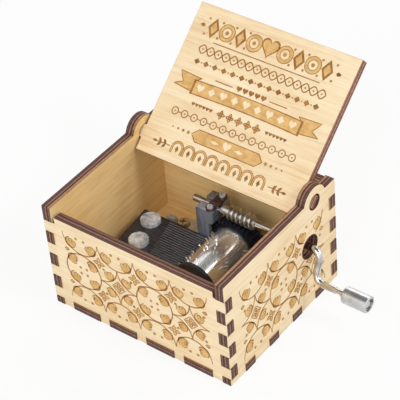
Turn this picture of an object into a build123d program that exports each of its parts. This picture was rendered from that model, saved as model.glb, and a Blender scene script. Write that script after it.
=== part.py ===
from build123d import *
import os
from math import cos, pi, radians, sin, sqrt, tan

# A hand-cranked comb music box in a finger-jointed plywood case.
# Millimetres. +X points right along the front, +Y to the back, +Z up.
# The origin is the centre of the case's bottom face.

# ---------------------------------------------------------------- driving dimensions

# case
case_length = 65.0  # outside, along X
case_width = 54.0  # outside, along Y
side_height = 38.3  # side panels, table to top edge
front_height = 35.0  # front panel, where the closed lid lies
back_height = 37.9  # back panel
ply = 3.0  # plywood sheet
proud = 0.25  # fingers and tabs stand out of the faces
finger_start = 2.4  # lowest finger of the front and back panels
finger_height = 4.35
finger_count = 4  # fingers of the front and back panels on each edge
shoulder_width = 0.9  # low shoulder at each end of the front panel's top edge
front_tab_width = 10.2  # bottom panel's tabs in the front and back panels
front_tab_pitch = 13.87
side_tab_width = 4.5  # bottom panel's tabs in the side panels
side_tab_pitch = 11.87
tab_count = 4  # tabs on each side of the bottom panel

# lid and its hinge
hinge_y = 17.0
hinge_z = 36.8
ear_radius = 5.4
hinge_hole_radius = 2.6
hinge_clearance = 0.06  # between the tab's corners and its hole
lid_open_angle = 140.0  # from closed to the pose of the photograph
lid_front_gap = 1.1  # closed lid's free edge, behind the front face
lid_tail = 5.9  # lid beyond the hinge axis
lid_side_gap = 0.7
tab_recess = 0.3  # tab's end inside the ear's outer face

# shaft and crank
shaft_y = 13.8
shaft_z = 22.0
wire_radius = 1.1
running_gap = 0.05  # radial, shafts in their bearings
crank_hole_radius = 4.0
shaft_left_end = -9.6
arm_gap = 4.0  # crank arm's middle outside the side panel
arm_drop = (-3.9, -8.4)  # knob axis from shaft axis, along Y and Z
bend_radius = 3.0
neck_radius = 0.85
neck_start = 7.7  # wire turned down to the neck, from the arm's middle
crimp_length = 0.9
crimp_width = 2.3
crimp_thickness = 1.0
crimp_round = 0.3
peen_radius = 1.35
peen_height = 0.7
peen_taper = 25.0
wire_end_chamfer = 0.33
neck_chamfer = 0.2

# knob
knob_radius = 2.65
knob_length = 8.4
knob_start = 10.4  # near end, from the arm's middle
knob_recess_radius = 1.95
knob_recess_depth = 1.3
knob_chamfer = 0.45  # at the near end
knob_edge = 0.2  # chamfer at the far end
end_play = 0.15  # axial, between turning and standing parts

# cylinder
cylinder_x = 6.4
cylinder_z = 12.0
cylinder_radius = 6.75
cylinder_wall = 0.7
cylinder_front = -7.7
cylinder_length = 18.0
end_cap_radius = 7.2
end_cap_thickness = 1.3
end_cap_chamfer = 0.32
hub_length = 1.6  # caps' hubs inside the shell
arbor_radius = 1.0
pin_radius = 0.24
pin_height = 0.75
pin_seat = 0.3  # pins pressed into the shell
pin_sides = 6
pin_place_count = 60  # places round the cylinder
pin_skip_count = 11  # one place in so many holds a pin

# worm gear and worm
gear_teeth = 32
gear_width = 4.6
gear_flange_radius = 7.3
worm_pitch_radius = 2.0
addendum = 0.45
dedendum = 0.6
backlash = 0.13  # taken off each tooth and each thread turn
pressure_angle = 20.0
worm_left = 1.3
worm_length = 12.2
thread_turns = 6
thread_turns_left = 2  # whole turns left of the cylinder's axis
sections_per_turn = 12
thread_sink = 0.1  # thread's root inside the core

# bedplate
bedplate_thickness = 2.2
bedplate_left = -26.4
bedplate_gap = 1.4  # between its right edge and the side panel
bedplate_front = -12.1
bedplate_back = 19.0
bedplate_step_x = -12.5  # left of this the plate ends behind the comb
bedplate_step_y = 11.9
bedplate_corner = 1.2
window_width = 12.4  # opening under the cylinder and gear
arbor_ear_width = 7.0
arbor_ear_top = 3.2  # ear above the arbor's axis
arbor_ear_thickness = 1.5
arbor_ear_round = 2.8
arbor_overhang = 0.4  # arbor's ends past the ears
mounting_ears = [(-17.3, 16.4), (-20.5, -14.9), (17.5, -14.9)]
mounting_ear_radius = 3.2
lug_place = (-16.6, 10.7)  # locating lug behind the comb
lug_size = (3.0, 1.6)
lug_top = 12.9

# comb
comb_top = 12.8
comb_shift = 0.3  # comb's middle in front of the cylinder's middle
comb_thickness = 1.4
tooth_thickness = 0.9
tooth_count = 18
tooth_pitch = 0.9
tooth_gap = 0.28
tip_clearance = 0.14  # tooth tips to the circle of the pins' ends
comb_left_back = -26.0
comb_left_front = -24.4
root_back = -16.0  # ends of the slots' root line
root_front = -12.3
comb_edge = 0.1  # past the last tooth on each side
thin_margin = 1.0  # full thickness kept past the slots' root line
seat_inset = 0.6
weight_count = 9  # teeth that carry a lead weight
weight_length = 2.6  # on the longest tooth
weight_height = 1.5
weight_shrink = 0.07  # share lost from each tooth to the next
weight_inset = 0.5  # behind the tooth's tip

# screws
comb_screw_places = [(-20.9, 5.6), (-18.3, -3.6)]
comb_screw_head_radius = 3.2
comb_screw_head_height = 1.5
comb_screw_radius = 1.5
comb_screw_grip = 3.0  # shank in the seat
mounting_screw_head_radius = 2.2
mounting_screw_head_height = 1.3
mounting_screw_radius = 1.2
mounting_screw_short = 0.4  # point stays inside the bottom panel
strap_screw_head_radius = 0.95
strap_screw_head_height = 0.55
strap_screw_radius = 0.6
strap_screw_length = 3.0
head_taper = 25.0  # of the mounting screws
cross_length = 2.4  # cross recess of the mounting screws
cross_width = 0.55
cross_depth = 0.8
cross_turn = 25.0

# bearing posts and straps
post_depth = 8.8  # along Y
column_width = 3.1  # along X
head_width = 6.2
head_height = 4.0  # solid head, below its top
gusset_drop = 2.0
front_column_width = 4.4
front_column_depth = 1.6
groove_width = 0.4
groove_depth = 0.4
left_post_x = -5.7  # outer face of the left post's column
right_post_gap = 2.5  # between the right post and the side panel
strap_length = 9.0
strap_width = 3.0
strap_thickness = 0.8
strap_inset = 0.1  # strap's edge inside the post's inner face
strap_screw_spacing = 6.2
collar_radius = 2.0
collar_width = 1.2

# ---------------------------------------------------------------- derived places

half_length = case_length / 2
half_width = case_width / 2
bedplate_right = half_length - ply - bedplate_gap
right_post_x = half_length - ply - right_post_gap
bedplate_top = ply + bedplate_thickness
pin_circle = cylinder_radius + pin_height
gear_distance = shaft_z - cylinder_z
gear_pitch_radius = gear_distance - worm_pitch_radius
thread_pitch = 2 * pi * gear_pitch_radius / gear_teeth
gear_front = shaft_y - gear_width / 2
gear_back = shaft_y + gear_width / 2
gear_tip_radius = gear_pitch_radius + addendum
gear_root_radius = gear_pitch_radius - dedendum
worm_tip_radius = worm_pitch_radius + addendum
worm_core_radius = worm_pitch_radius - dedendum
cylinder_back = cylinder_front + cylinder_length
front_ear_y = cylinder_front - end_cap_thickness - end_play - arbor_ear_thickness
back_ear_y = gear_back + end_play
comb_tip_x = cylinder_x - pin_circle - tip_clearance
comb_mid_y = cylinder_front + cylinder_length / 2 - comb_shift
comb_half = tooth_count * tooth_pitch / 2 + comb_edge
comb_bottom = comb_top - comb_thickness
post_front = shaft_y - post_depth / 2
post_top = shaft_z + wire_radius + running_gap
arm_x = half_length + arm_gap
step_x = arm_x + neck_start
knob_x = arm_x + knob_start
knob_y = shaft_y + arm_drop[0]
knob_z = shaft_z + arm_drop[1]


def finger_centres():
    """Heights of the middles of the front and back panels' fingers."""
    return [finger_start + finger_height * (2 * k + 0.5) for k in range(finger_count)]


def y_plane(x, y, z):
    """A plane across the Y axis, its local x along +X and its normal along +Y."""
    return Plane(origin=(x, y, z), x_dir=(1, 0, 0), z_dir=(0, 1, 0))


def x_plane(x, y, z):
    """A plane across the X axis, its local x along +Y and its normal along +X."""
    return Plane(origin=(x, y, z), x_dir=(0, 1, 0), z_dir=(1, 0, 0))


def finish(builder, label):
    """Name a sub-part and write it."""
    builder.part.label = label
    export_step(builder.part, f"parts/{label}.step")


os.makedirs("parts", exist_ok=True)

# ---------------------------------------------------------------- case


def long_panel(label, outer_y, height, shoulder):
    """Front or back panel: fingers at both ends, slots for the bottom's tabs."""
    inner = half_length - ply
    reach = ply + proud
    with BuildPart() as panel:
        with BuildSketch(Plane.XZ.offset(-outer_y)):
            with Locations((0, height / 2)):
                Rectangle(2 * inner, height)
            for z in finger_centres():
                with Locations((inner + reach / 2, z), (-inner - reach / 2, z)):
                    Rectangle(reach, finger_height)
            if shoulder:
                low = finger_centres()[-1] + finger_height / 2
                drop = height - low
                with Locations((inner - shoulder_width / 2, low + drop / 2)):
                    Rectangle(shoulder_width, drop, mode=Mode.SUBTRACT)
                with Locations((-inner + shoulder_width / 2, low + drop / 2)):
                    Rectangle(shoulder_width, drop, mode=Mode.SUBTRACT)
            with Locations((0, ply / 2)):
                with GridLocations(front_tab_pitch, 0, tab_count, 1):
                    Rectangle(front_tab_width, ply, mode=Mode.SUBTRACT)
        extrude(amount=-ply if outer_y < 0 else ply)
    finish(panel, label)


def side_panel(label, inner_x, outward, with_crank_hole):
    """Side panel with its hinge ear: its end grain shows between the fingers."""
    reach = ply + proud
    with BuildPart() as panel:
        with BuildSketch(Plane.YZ.offset(inner_x)):
            with Locations((0, side_height / 2)):
                Rectangle(case_width + 2 * proud, side_height)
            for z in finger_centres():
                for side in (-1, 1):
                    with Locations((side * (half_width + proud - reach / 2), z)):
                        Rectangle(reach, finger_height, mode=Mode.SUBTRACT)
            with Locations((0, ply / 2)):
                with GridLocations(side_tab_pitch, 0, tab_count, 1):
                    Rectangle(side_tab_width, ply, mode=Mode.SUBTRACT)
            with Locations((hinge_y, hinge_z)):
                Circle(ear_radius)
                Circle(hinge_hole_radius, mode=Mode.SUBTRACT)
            if with_crank_hole:
                with Locations((shaft_y, shaft_z)):
                    Circle(crank_hole_radius, mode=Mode.SUBTRACT)
        extrude(amount=outward * ply)
    finish(panel, label)


long_panel("front_panel", -half_width, front_height, True)
long_panel("back_panel", half_width, back_height, False)
side_panel("left_panel", -half_length + ply, -1, False)
side_panel("right_panel", half_length - ply, 1, True)

with BuildPart() as bottom_panel:
    tab_reach = ply + proud
    with BuildSketch():
        Rectangle(case_length - 2 * ply, case_width - 2 * ply)
        with GridLocations(front_tab_pitch, case_width - 2 * ply + tab_reach, tab_count, 2):
            Rectangle(front_tab_width, tab_reach)
        with GridLocations(case_length - 2 * ply + tab_reach, side_tab_pitch, 2, tab_count):
            Rectangle(tab_reach, side_tab_width)
        with Locations(*mounting_ears):
            Circle(mounting_screw_radius, mode=Mode.SUBTRACT)
    extrude(amount=ply)
finish(bottom_panel, "bottom_panel")

# ---------------------------------------------------------------- lid, open as in the photograph

lean = radians(lid_open_angle)
lid_direction = Vector(0, -cos(lean), sin(lean))  # from the hinge axis to the free edge
lid_reach = half_width + hinge_y - lid_front_gap
tab_diagonal = 2 * (hinge_hole_radius - hinge_clearance)
tab_width = sqrt(tab_diagonal**2 - ply**2)

with BuildPart() as lid_panel:
    lid_normal = Vector(1, 0, 0).cross(lid_direction)
    with BuildSketch(Plane(origin=(0, hinge_y, hinge_z), x_dir=(1, 0, 0), z_dir=lid_normal)):
        with Locations((0, (lid_reach - lid_tail) / 2)):
            Rectangle(case_length - 2 * (ply + lid_side_gap), lid_reach + lid_tail)
        Rectangle(case_length - 2 * tab_recess, tab_width)
    extrude(amount=ply / 2, both=True)
finish(lid_panel, "lid_panel")

# ---------------------------------------------------------------- bedplate

with BuildPart() as bedplate:
    with BuildSketch(Plane.XY.offset(ply)) as plate_outline:
        with BuildLine():
            Polyline(
                (bedplate_left, bedplate_front),
                (bedplate_right, bedplate_front),
                (bedplate_right, bedplate_back),
                (bedplate_step_x, bedplate_back),
                (bedplate_step_x, bedplate_step_y),
                (bedplate_left, bedplate_step_y),
                close=True,
            )
        make_face()
        fillet(plate_outline.vertices(), bedplate_corner)
        with Locations(*mounting_ears):
            Circle(mounting_ear_radius)
        for ear_x, ear_y in mounting_ears:
            if ear_y > 0:
                neck = bedplate_step_x + bedplate_corner - ear_x
                with Locations((ear_x + neck / 2, ear_y)):
                    Rectangle(neck, 2 * mounting_ear_radius)
            else:
                neck = bedplate_front + bedplate_corner - ear_y
                with Locations((ear_x, ear_y + neck / 2)):
                    Rectangle(2 * mounting_ear_radius, neck)
        with Locations(*mounting_ears):
            Circle(mounting_screw_radius, mode=Mode.SUBTRACT)
        window_front = front_ear_y + arbor_ear_thickness
        window_back = back_ear_y
        with Locations((cylinder_x, (window_front + window_back) / 2)):
            Rectangle(window_width, window_back - window_front, mode=Mode.SUBTRACT)
    extrude(amount=bedplate_thickness)
    # ears that carry the cylinder's arbor
    for ear_y in (front_ear_y, back_ear_y):
        with BuildSketch(y_plane(cylinder_x, ear_y, 0)):
            rise = cylinder_z + arbor_ear_top - bedplate_top
            with Locations((0, -(bedplate_top + rise / 2))):
                ear = Rectangle(arbor_ear_width, rise)
            fillet(ear.vertices().group_by(Axis.Z)[-1], arbor_ear_round)
            with Locations((0, -cylinder_z)):
                Circle(arbor_radius + running_gap, mode=Mode.SUBTRACT)
        extrude(amount=arbor_ear_thickness)
    # seat under the comb's base, with its tapped holes
    with BuildSketch(Plane.XY.offset(bedplate_top)):
        with BuildLine():
            Polyline(
                (comb_left_back + seat_inset, comb_mid_y + comb_half - seat_inset),
                (root_back - seat_inset, comb_mid_y + comb_half - seat_inset),
                (root_front - seat_inset, comb_mid_y - comb_half + seat_inset),
                (comb_left_front + seat_inset, comb_mid_y - comb_half + seat_inset),
                close=True,
            )
        make_face()
        with Locations(*comb_screw_places):
            Circle(comb_screw_radius, mode=Mode.SUBTRACT)
    extrude(amount=comb_bottom - bedplate_top)
    with BuildSketch(Plane.XY.offset(bedplate_top)):
        with Locations(lug_place):
            Rectangle(*lug_size)
    extrude(amount=lug_top - bedplate_top)
finish(bedplate, "bedplate")

# ---------------------------------------------------------------- comb and its weights


def root_x(y):
    """Where a slot of the comb ends, on the slanting root line."""
    share = (y - (comb_mid_y - comb_half)) / (2 * comb_half)
    return root_front + share * (root_back - root_front)


with BuildPart() as comb:
    beyond = tooth_pitch  # cuts run past the comb's edges
    with BuildSketch(Plane.XY.offset(comb_bottom)):
        with BuildLine():
            Polyline(
                (comb_left_back, comb_mid_y + comb_half),
                (comb_tip_x, comb_mid_y + comb_half),
                (comb_tip_x, comb_mid_y - comb_half),
                (comb_left_front, comb_mid_y - comb_half),
                close=True,
            )
        make_face()
        for gap in range(1, tooth_count):
            y = comb_mid_y + (gap - tooth_count / 2) * tooth_pitch
            slot_length = comb_tip_x - root_x(y) + beyond
            with Locations((root_x(y) + slot_length / 2, y)):
                Rectangle(slot_length, tooth_gap, mode=Mode.SUBTRACT)
        with Locations(*comb_screw_places):
            Circle(comb_screw_radius, mode=Mode.SUBTRACT)
    extrude(amount=comb_thickness)
    # teeth are ground thinner from below
    with BuildSketch(Plane.XY.offset(comb_bottom)):
        with BuildLine():
            Polyline(
                (root_back + thin_margin, comb_mid_y + comb_half + beyond),
                (comb_tip_x + beyond, comb_mid_y + comb_half + beyond),
                (comb_tip_x + beyond, comb_mid_y - comb_half - beyond),
                (root_front + thin_margin, comb_mid_y - comb_half - beyond),
                close=True,
            )
        make_face()
    extrude(amount=comb_thickness - tooth_thickness, mode=Mode.SUBTRACT)
finish(comb, "comb")

with BuildPart() as tooth_weights:
    for place in range(weight_count):
        y = comb_mid_y + (tooth_count / 2 - 0.5 - place) * tooth_pitch
        size = 1 - weight_shrink * place
        weight_top = comb_top - tooth_thickness
        with BuildSketch(Plane.XY.offset(weight_top)):
            with Locations((comb_tip_x - weight_inset - weight_length * size / 2, y)):
                Rectangle(weight_length * size, tooth_pitch - tooth_gap)
        extrude(amount=-weight_height * size)
finish(tooth_weights, "tooth_weights")


# ---------------------------------------------------------------- screws


def round_screws(label, planes, head, taper, radius, length, cross):
    """Screws: heads, given as radius and height, on the planes, and shanks below them."""
    head_radius, head_height = head
    with BuildPart() as screws:
        for plane in planes:
            with BuildSketch(plane):
                Circle(head_radius)
            extrude(amount=head_height, taper=taper)
            with BuildSketch(plane):
                Circle(radius)
            extrude(amount=-length)
            if cross:
                with BuildSketch(plane.offset(head_height)):
                    Rectangle(cross_length, cross_width, rotation=cross_turn)
                    Rectangle(cross_length, cross_width, rotation=cross_turn + 90)
                extrude(amount=-cross_depth, mode=Mode.SUBTRACT)
    finish(screws, label)


def upright(places, z):
    """Level planes at the places given."""
    return [Plane(origin=(x, y, z)) for x, y in places]


round_screws(
    "comb_screws",
    upright(comb_screw_places, comb_top),
    (comb_screw_head_radius, comb_screw_head_height),
    0,
    comb_screw_radius,
    comb_thickness + comb_screw_grip,
    False,
)
round_screws(
    "mounting_screws",
    upright(mounting_ears, bedplate_top),
    (mounting_screw_head_radius, mounting_screw_head_height),
    head_taper,
    mounting_screw_radius,
    bedplate_thickness + ply - mounting_screw_short,
    True,
)

# ---------------------------------------------------------------- bearing posts and straps


def strap_middle(outer_x, inward):
    """Middle of the strap across a post's head, along X."""
    return outer_x + inward * (head_width - strap_width / 2 - strap_inset)


def bearing_post(label, outer_x, inward, front_column):
    """Upright with a U-shaped bearing for the shaft under its strap."""
    with BuildPart() as post:
        with BuildSketch(y_plane(outer_x, post_front, 0)):
            with BuildLine():
                Polyline(
                    (0, -bedplate_top),
                    (0, -post_top),
                    (inward * head_width, -post_top),
                    (inward * head_width, -(post_top - head_height)),
                    (inward * column_width, -(post_top - head_height - gusset_drop)),
                    (inward * column_width, -bedplate_top),
                    close=True,
                )
            make_face()
        extrude(amount=post_depth)
        if front_column:
            with BuildSketch(y_plane(outer_x, post_front, 0)):
                column_rise = post_top - head_height / 2 - bedplate_top
                with Locations((inward * front_column_width / 2, -(bedplate_top + column_rise / 2))):
                    Rectangle(front_column_width, column_rise)
            extrude(amount=front_column_depth)
            groove_x = outer_x + inward * (column_width - groove_width / 2)
            with BuildSketch(y_plane(groove_x, post_front, 0)):
                with Locations((0, -(bedplate_top + post_top) / 2)):
                    Rectangle(groove_width, post_top - bedplate_top)
            extrude(amount=groove_depth, mode=Mode.SUBTRACT)
        bearing_radius = wire_radius + running_gap
        with BuildSketch(x_plane(outer_x, 0, 0)):
            with Locations((shaft_y, shaft_z)):
                Circle(bearing_radius)
            with Locations((shaft_y, (shaft_z + post_top) / 2)):
                Rectangle(2 * bearing_radius, post_top - shaft_z)
        extrude(amount=inward * head_width, mode=Mode.SUBTRACT)
        with BuildSketch(Plane(origin=(strap_middle(outer_x, inward), shaft_y, post_top))):
            with GridLocations(0, strap_screw_spacing, 1, 2):
                Circle(strap_screw_radius)
        extrude(amount=-strap_screw_length, mode=Mode.SUBTRACT)
    finish(post, label)


def shaft_strap(label, middle_x):
    """Round-ended strap that closes a post's bearing."""
    with BuildPart() as strap:
        with BuildSketch(Plane(origin=(middle_x, shaft_y, post_top), x_dir=(0, 1, 0))):
            SlotOverall(strap_length, strap_width)
            with GridLocations(strap_screw_spacing, 0, 2, 1):
                Circle(strap_screw_radius, mode=Mode.SUBTRACT)
        extrude(amount=strap_thickness)
    finish(strap, label)


strap_places = []
for side, outer_x, inward in (("left", left_post_x, 1), ("right", right_post_x, -1)):
    bearing_post(f"{side}_bearing_post", outer_x, inward, side == "left")
    shaft_strap(f"{side}_shaft_strap", strap_middle(outer_x, inward))
    for end in (-1, 1):
        strap_places.append((strap_middle(outer_x, inward), shaft_y + end * strap_screw_spacing / 2))

round_screws(
    "strap_screws",
    upright(strap_places, post_top + strap_thickness),
    (strap_screw_head_radius, strap_screw_head_height),
    0,
    strap_screw_radius,
    strap_thickness + strap_screw_length - end_play,
    False,
)

# ---------------------------------------------------------------- cylinder

with BuildPart() as cylinder_shell:
    with BuildSketch(y_plane(cylinder_x, cylinder_front, cylinder_z)):
        Circle(cylinder_radius)
        Circle(cylinder_radius - cylinder_wall, mode=Mode.SUBTRACT)
    extrude(amount=cylinder_length)
finish(cylinder_shell, "cylinder_shell")

# The pins stand in rings, one ring for each tooth. Their pattern is a plain arithmetic one.
with BuildPart() as cylinder_pins:
    pin_foot = cylinder_radius - pin_seat
    pin_planes = []
    for ring in range(tooth_count):
        y = comb_mid_y + (ring - (tooth_count - 1) / 2) * tooth_pitch
        for place in range(pin_place_count):
            if (3 * place + 7 * ring + place * place // 5) % pin_skip_count == 0:
                angle = 2 * pi * place / pin_place_count
                radial = Vector(sin(angle), 0, cos(angle))
                foot = Vector(cylinder_x, y, cylinder_z) + radial * pin_foot
                pin_planes.append(Plane(origin=foot, x_dir=(0, 1, 0), z_dir=radial))
    with BuildSketch(*pin_planes):
        RegularPolygon(pin_radius, pin_sides)
    extrude(amount=pin_height + pin_seat)
finish(cylinder_pins, "cylinder_pins")

with BuildPart() as cylinder_end_cap:
    with BuildSketch(y_plane(cylinder_x, cylinder_front - end_cap_thickness, cylinder_z)):
        Circle(end_cap_radius)
    extrude(amount=end_cap_thickness)
    chamfer(cylinder_end_cap.edges().group_by(Axis.Y)[0], end_cap_chamfer)
    with BuildSketch(y_plane(cylinder_x, cylinder_front, cylinder_z)):
        Circle(cylinder_radius - cylinder_wall)
    extrude(amount=hub_length)
    with BuildSketch(y_plane(cylinder_x, cylinder_front - end_cap_thickness, cylinder_z)):
        Circle(arbor_radius)
    extrude(amount=end_cap_thickness + hub_length, mode=Mode.SUBTRACT)
finish(cylinder_end_cap, "cylinder_end_cap")


# ---------------------------------------------------------------- worm gear


def gear_outline(turn):
    """Corners of the toothed outline, turned by an angle about +Y, with a tooth space at the top."""
    half_tooth = thread_pitch / 4 - backlash / 2
    slope = tan(radians(pressure_angle))
    half_tip = (half_tooth - addendum * slope) / gear_tip_radius
    half_root = (half_tooth + dedendum * slope) / gear_root_radius
    corners = []
    for tooth in range(gear_teeth):
        middle = turn - pi / 2 + 2 * pi * (tooth + 0.5) / gear_teeth
        for radius, offset in (
            (gear_root_radius, -half_root),
            (gear_tip_radius, -half_tip),
            (gear_tip_radius, half_tip),
            (gear_root_radius, half_root),
        ):
            corners.append((radius * cos(middle + offset), radius * sin(middle + offset)))
    return corners


# The teeth lean with the worm's thread, so the outline turns a little from face to face.
lead_slope = thread_pitch / (2 * pi * worm_pitch_radius)
face_turn = lead_slope * gear_width / 2 / gear_pitch_radius

with BuildPart() as worm_gear:
    for y, turn in ((gear_front, -face_turn), (gear_back, face_turn)):
        with BuildSketch(y_plane(cylinder_x, y, cylinder_z)):
            with BuildLine():
                Polyline(*gear_outline(turn), close=True)
            make_face()
    loft(ruled=True)
    with BuildSketch(y_plane(cylinder_x, cylinder_back, cylinder_z)):
        Circle(gear_flange_radius)
    extrude(amount=gear_front - cylinder_back)
    with BuildSketch(y_plane(cylinder_x, cylinder_back, cylinder_z)):
        Circle(cylinder_radius - cylinder_wall)
    extrude(amount=-hub_length)
    with BuildSketch(y_plane(cylinder_x, cylinder_back - hub_length, cylinder_z)):
        Circle(arbor_radius)
    extrude(amount=hub_length + gear_back - cylinder_back, mode=Mode.SUBTRACT)
finish(worm_gear, "worm_gear")

with BuildPart() as cylinder_arbor:
    arbor_start = front_ear_y - arbor_overhang
    arbor_end = back_ear_y + arbor_ear_thickness + arbor_overhang
    with BuildSketch(y_plane(cylinder_x, arbor_start, cylinder_z)):
        Circle(arbor_radius)
    extrude(amount=arbor_end - arbor_start)
finish(cylinder_arbor, "cylinder_arbor")

# ---------------------------------------------------------------- worm, right-handed, one start

half_thread = thread_pitch / 4 - backlash / 2
thread_slope = tan(radians(pressure_angle))
half_thread_root = half_thread + dedendum * thread_slope
half_thread_crest = half_thread - addendum * thread_slope

with BuildPart() as worm:
    # Sections of the thread follow one another round the shaft. The thread's middle passes the
    # shaft's underside straight above the cylinder's axis, where the gear has a tooth space.
    for section in range(thread_turns * sections_per_turn + 1):
        turns = section / sections_per_turn
        angle = 2 * pi * turns - pi / 2
        middle = Vector(cylinder_x + thread_pitch * (turns - thread_turns_left), shaft_y, shaft_z)
        radial = Vector(0, cos(angle), sin(angle))
        across = radial.cross(Vector(1, 0, 0))
        with BuildSketch(Plane(origin=middle, x_dir=radial, z_dir=across)):
            with BuildLine():
                Polyline(
                    (worm_core_radius - thread_sink, -half_thread_root),
                    (worm_tip_radius, -half_thread_crest),
                    (worm_tip_radius, half_thread_crest),
                    (worm_core_radius - thread_sink, half_thread_root),
                    close=True,
                )
            make_face()
    loft(ruled=True)
    with BuildSketch(x_plane(worm_left, shaft_y, shaft_z)):
        Circle(worm_core_radius)
    extrude(amount=worm_length)
    with BuildSketch(x_plane(worm_left, shaft_y, shaft_z)):
        Circle(wire_radius)
    extrude(amount=worm_length, mode=Mode.SUBTRACT)
finish(worm, "worm")

# ---------------------------------------------------------------- crank

knob_end = knob_x + knob_length
recess_floor = knob_end - knob_recess_depth

with BuildPart() as crank_wire:
    with BuildLine() as wire_path:
        FilletPolyline(
            (shaft_left_end, shaft_y, shaft_z),
            (arm_x, shaft_y, shaft_z),
            (arm_x, knob_y, knob_z),
            (step_x, knob_y, knob_z),
            radius=bend_radius,
        )
    with BuildSketch(x_plane(shaft_left_end, shaft_y, shaft_z)):
        Circle(wire_radius)
    sweep(path=wire_path.wires()[0])
    chamfer(crank_wire.edges().group_by(Axis.X)[0], wire_end_chamfer)
    chamfer(crank_wire.edges().group_by(Axis.X)[-1], neck_chamfer)
    with BuildSketch(x_plane(step_x, knob_y, knob_z)):
        Circle(neck_radius)
    extrude(amount=recess_floor + end_play - step_x)
    # the neck is pinched flat just before the knob
    with BuildSketch(x_plane(knob_x - end_play - crimp_length, knob_y, knob_z)):
        RectangleRounded(crimp_width, crimp_thickness, crimp_round)
    extrude(amount=crimp_length)
    # and peened over at its end
    with BuildSketch(x_plane(recess_floor + end_play, knob_y, knob_z)):
        Circle(peen_radius)
    extrude(amount=peen_height, taper=peen_taper)
finish(crank_wire, "crank_wire")

with BuildPart() as thrust_collar:
    with BuildSketch(x_plane(right_post_x + end_play, shaft_y, shaft_z)):
        Circle(collar_radius)
        Circle(wire_radius, mode=Mode.SUBTRACT)
    extrude(amount=collar_width)
finish(thrust_collar, "thrust_collar")

with BuildPart() as knob:
    with BuildSketch(x_plane(knob_x, knob_y, knob_z)):
        Circle(knob_radius)
    extrude(amount=knob_length)
    chamfer(knob.edges().group_by(Axis.X)[0], knob_chamfer)
    chamfer(knob.edges().group_by(Axis.X)[-1], knob_edge)
    with BuildSketch(x_plane(recess_floor, knob_y, knob_z)):
        Circle(knob_recess_radius)
    extrude(amount=knob_recess_depth, mode=Mode.SUBTRACT)
    with BuildSketch(x_plane(knob_x, knob_y, knob_z)):
        Circle(neck_radius + running_gap)
    extrude(amount=knob_length, mode=Mode.SUBTRACT)
finish(knob, "knob")
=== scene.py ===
"""The looks of a hand-cranked comb music box in a laser-cut plywood case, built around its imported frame.

Metres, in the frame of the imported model: +X to the right along the front, +Y to the back and +Z up,
with the origin under the middle of the case. Ornament is drawn in millimetres on each face.
"""

from math import cos, exp, hypot, pi, radians, sin

import bmesh
import bpy
from mathutils import Matrix, Vector


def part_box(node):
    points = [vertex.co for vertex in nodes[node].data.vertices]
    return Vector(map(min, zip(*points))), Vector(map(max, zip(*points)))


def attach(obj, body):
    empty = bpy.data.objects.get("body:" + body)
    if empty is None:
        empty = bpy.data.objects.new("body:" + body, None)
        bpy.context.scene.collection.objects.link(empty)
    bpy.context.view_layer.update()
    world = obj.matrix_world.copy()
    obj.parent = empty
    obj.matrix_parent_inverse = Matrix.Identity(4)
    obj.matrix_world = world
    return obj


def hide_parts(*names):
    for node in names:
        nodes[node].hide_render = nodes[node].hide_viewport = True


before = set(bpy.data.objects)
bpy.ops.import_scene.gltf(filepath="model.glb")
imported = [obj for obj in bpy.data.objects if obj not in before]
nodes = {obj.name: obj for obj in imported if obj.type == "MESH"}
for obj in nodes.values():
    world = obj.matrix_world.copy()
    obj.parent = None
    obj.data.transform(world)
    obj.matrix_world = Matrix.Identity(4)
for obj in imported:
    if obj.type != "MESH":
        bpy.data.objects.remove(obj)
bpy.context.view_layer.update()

MM = 0.001

# ---------------------------------------------------------------- camera

# fitted to the corners of the case in the photograph
CAMERA_PLACE = Vector((0.25351, -0.29214, 0.36628))
CAMERA_AZIMUTH = radians(40.46)
CAMERA_ELEVATION = radians(40.60)
CAMERA_ROLL = radians(-5.54)
FOCAL_PIXELS = 1759.8  # for a frame of 400 pixels
FRAME_PIXELS = 400
SENSOR = 36.0


def add_camera():
    """The camera at the photograph's viewing angle."""
    forward = Vector(
        (
            -sin(CAMERA_AZIMUTH) * cos(CAMERA_ELEVATION),
            cos(CAMERA_AZIMUTH) * cos(CAMERA_ELEVATION),
            -sin(CAMERA_ELEVATION),
        )
    )
    level = forward.cross(Vector((0, 0, 1))).normalized()
    upright = level.cross(forward)
    right = level * cos(CAMERA_ROLL) + upright * sin(CAMERA_ROLL)
    up = right.cross(forward)
    data = bpy.data.cameras.new("camera")
    data.sensor_width = SENSOR
    data.lens = FOCAL_PIXELS / FRAME_PIXELS * SENSOR
    data.clip_start = 0.01
    camera = bpy.data.objects.new("camera", data)
    turn = Matrix((right, up, -forward)).transposed()
    camera.matrix_world = Matrix.Translation(CAMERA_PLACE) @ turn.to_4x4()
    bpy.context.scene.collection.objects.link(camera)
    bpy.context.scene.camera = camera


# ---------------------------------------------------------------- light and stage

FLOOR_SIZE = 3.0
LAMP_AIM = (0.0, 0.0, 0.02)
LAMPS = {
    # name: (place, width, watts)
    "right_key": ((0.60, 0.04, 0.62), 0.16, 1.6),
    "front_key": ((0.12, -0.72, 0.58), 0.50, 2.9),
    "left_fill": ((-0.75, -0.30, 0.45), 0.50, 1.0),
    "back_fill": ((-0.15, 0.75, 0.55), 0.50, 1.2),
    "gleam": ((0.50, 0.52, 0.54), 0.30, 0.9),
}
WORLD_LEVEL = 0.50  # strength of the white world as a light
CEILING = 0.22  # how bright the camera and polished metal see the studio's ceiling
CEILING_EDGE = (46, 54)  # elevations between which the walls turn into the ceiling, in degrees
FLOOR_WHITE = 0.86  # share of plain white that a view of the floor gets
FLOOR_COLOUR = 0.86  # how pale the floor is under the lamps


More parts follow.
